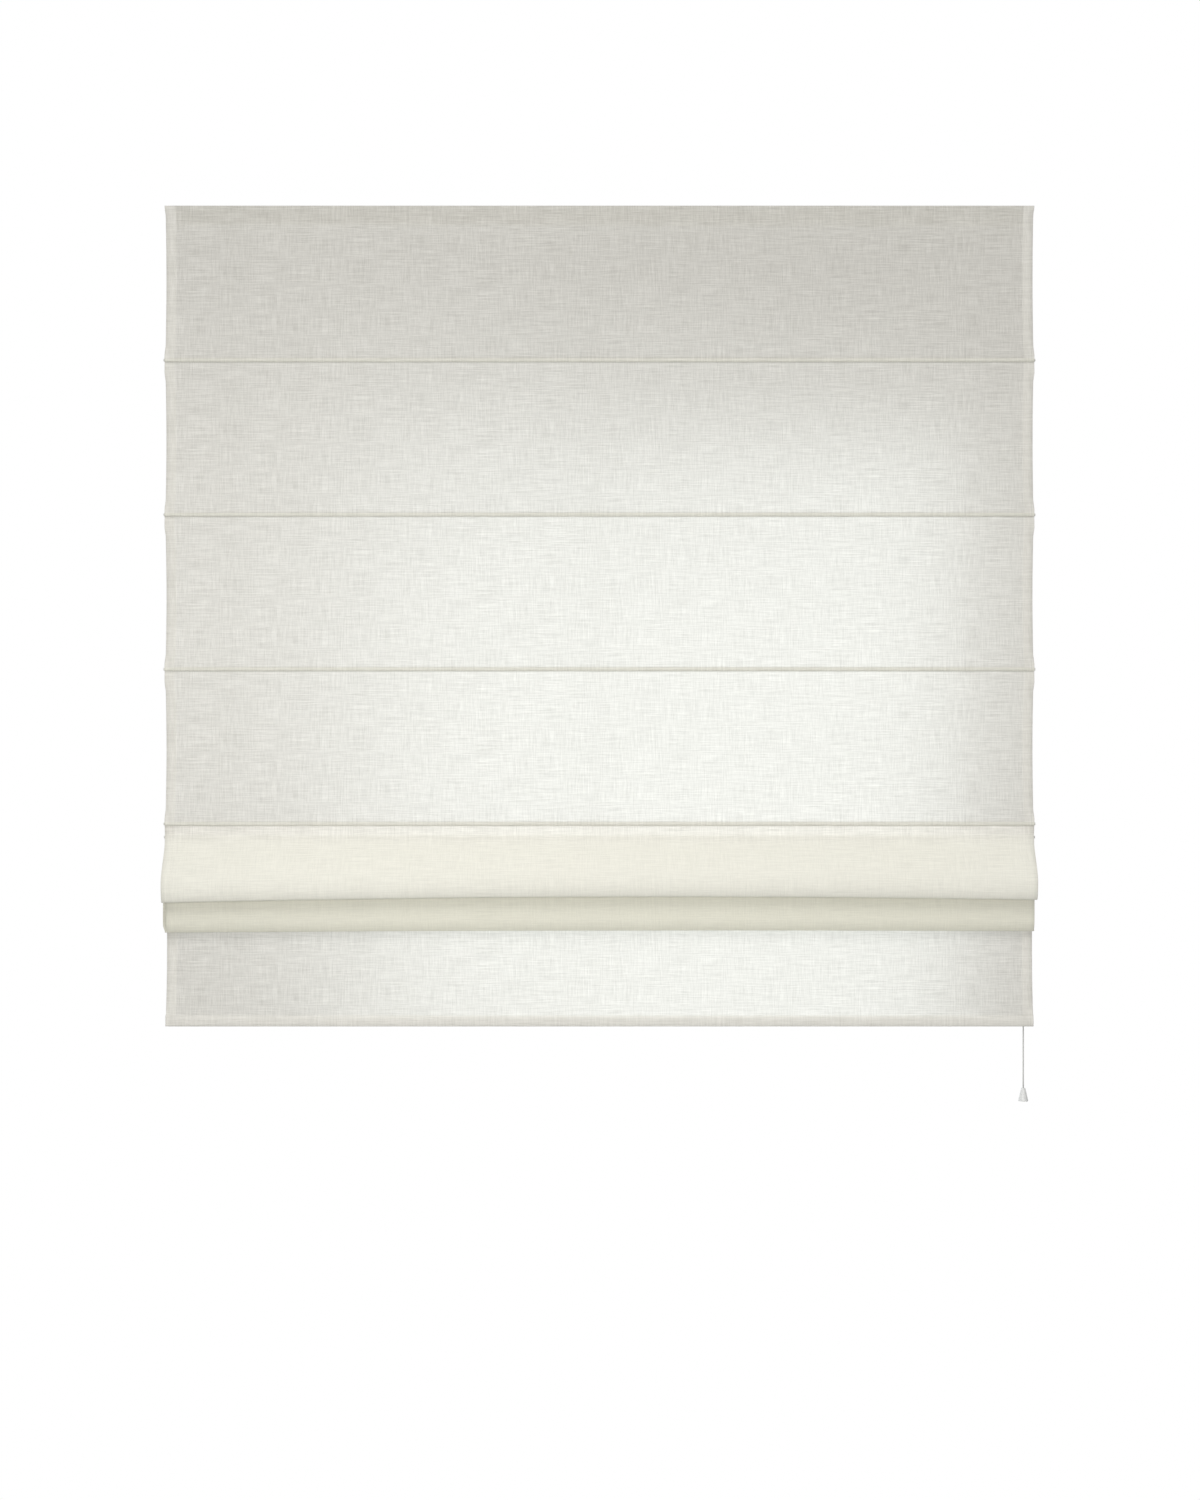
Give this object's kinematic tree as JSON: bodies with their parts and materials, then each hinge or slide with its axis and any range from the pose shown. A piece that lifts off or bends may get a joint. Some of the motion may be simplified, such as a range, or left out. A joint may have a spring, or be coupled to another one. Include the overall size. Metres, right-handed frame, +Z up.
{
  "type": "roman blind",
  "caption": "Corded roman blind, partly drawn up: linen cloth in flat panels with soft folds at the foot, stiffening rods, lift cords, clip-in headrail and a pull cord with a bell.",
  "frame": {"origin": "middle of the line between the two bracket screw holes, on the wall plane", "axes": "+X to the right as seen from the room, +Y into the wall, +Z up"},
  "size_m": [1.3026, 0.072, 1.3416],
  "materials": {
    "linen": "off-white open linen weave, lets light through",
    "rail": "white powder coat",
    "white_plastic": "matte white",
    "clear_plastic": "milky, half clear",
    "tape": "white hook and loop tape",
    "bracket": "white painted steel",
    "pin": "bright steel",
    "rod": "white glass-fibre rod",
    "cord": "white braided cord"
  },
  "bodies": {
    "headrail": {"headrail": "rail", "left_end_cap": "white_plastic", "right_end_cap": "white_plastic", "hook_tape": "tape", "loop_tape": "tape", "left_bracket": "bracket", "right_bracket": "bracket", "latch_pins": "pin", "left_guide": "white_plastic", "middle_guide": "white_plastic", "right_guide": "white_plastic", "roller_pins": "pin", "cord_lock": "white_plastic", "lock_pins": "pin", "fabric": "linen", "lift_cords": "cord", "cord_tails": "cord"},
    "left_latch": {"left_latch": "bracket"},
    "right_latch": {"right_latch": "bracket"},
    "left_roller": {"left_roller": "white_plastic"},
    "middle_roller": {"middle_roller": "white_plastic"},
    "right_roller": {"right_roller": "white_plastic"},
    "lock_roller": {"lock_roller": "white_plastic"},
    "lock_pawl": {"lock_pawl": "white_plastic"},
    "rod_1": {"rod_1": "rod", "rod_1_rings": "clear_plastic"},
    "rod_2": {"rod_2": "rod", "rod_2_rings": "clear_plastic"},
    "rod_3": {"rod_3": "rod", "rod_3_rings": "clear_plastic"},
    "rod_4": {"rod_4": "rod", "rod_4_rings": "clear_plastic"},
    "rod_5": {"rod_5": "rod", "rod_5_rings": "clear_plastic"},
    "rod_6": {"rod_6": "rod", "rod_6_rings": "clear_plastic", "bottom_bar": "rod", "cord_adjusters": "clear_plastic"},
    "pull": {"cord_connector": "clear_plastic", "pull_cord": "cord", "cord_bell": "clear_plastic"}
  },
  "joints": [
    {"name": "left_latch_swing", "type": "hinge", "parent": "headrail", "child": "left_latch", "pos_m": [-0.45, -0.0062, -0.01885], "axis": [1, 0, 0], "range_deg": [0, 75]},
    {"name": "right_latch_swing", "type": "hinge", "parent": "headrail", "child": "right_latch", "pos_m": [0.45, -0.0062, -0.01885], "axis": [1, 0, 0], "range_deg": [0, 75]},
    {"name": "left_roller_spin", "type": "hinge", "parent": "headrail", "child": "left_roller", "pos_m": [-0.5433, -0.0198, -0.009], "axis": [0, 1, 0], "continuous": true},
    {"name": "middle_roller_spin", "type": "hinge", "parent": "headrail", "child": "middle_roller", "pos_m": [0.0067, -0.0198, -0.009], "axis": [0, 1, 0], "continuous": true},
    {"name": "right_roller_spin", "type": "hinge", "parent": "headrail", "child": "right_roller", "pos_m": [0.5567, -0.0198, -0.009], "axis": [0, 1, 0], "continuous": true},
    {"name": "lock_roller_spin", "type": "hinge", "parent": "headrail", "child": "lock_roller", "pos_m": [0.6308, -0.0198, -0.009], "axis": [0, 1, 0], "continuous": true},
    {"name": "lock_pawl_swing", "type": "hinge", "parent": "headrail", "child": "lock_pawl", "pos_m": [0.626, -0.0198, -0.023], "axis": [0, 1, 0], "range_deg": [0, 30]},
    {"name": "rod_1_lift", "type": "slide", "parent": "headrail", "child": "rod_1", "axis": [0, 0.0065, 1], "range_m": [0, 0.19], "deforming": ["fabric", "lift_cords"]},
    {"name": "rod_2_lift", "type": "slide", "parent": "rod_1", "child": "rod_2", "axis": [0, 0.0065, 1], "range_m": [0, 0.216], "deforming": ["fabric", "lift_cords"]},
    {"name": "rod_3_lift", "type": "slide", "parent": "rod_2", "child": "rod_3", "axis": [0, 0.0065, 1], "range_m": [0, 0.216], "deforming": ["fabric", "lift_cords"]},
    {"name": "rod_4_lift", "type": "slide", "parent": "rod_3", "child": "rod_4", "axis": [0, 0.0065, 1], "range_m": [0, 0.216], "deforming": ["fabric", "lift_cords"]},
    {"name": "rod_5_lift", "type": "slide", "parent": "rod_4", "child": "rod_5", "axis": [0, 0.017, 0.9999], "range_m": [-0.2, 0.004], "deforming": ["fabric", "lift_cords"]},
    {"name": "rod_6_lift", "type": "slide", "parent": "rod_5", "child": "rod_6", "axis": [0, 0.0167, 0.9999], "range_m": [-0.18, 0], "deforming": ["fabric", "lift_cords"]},
    {"name": "cord_pull", "type": "slide", "parent": "headrail", "child": "pull", "axis": [0, 0, 1], "range_m": [-0.84, 0.38], "deforming": ["cord_tails"]}
  ]
}
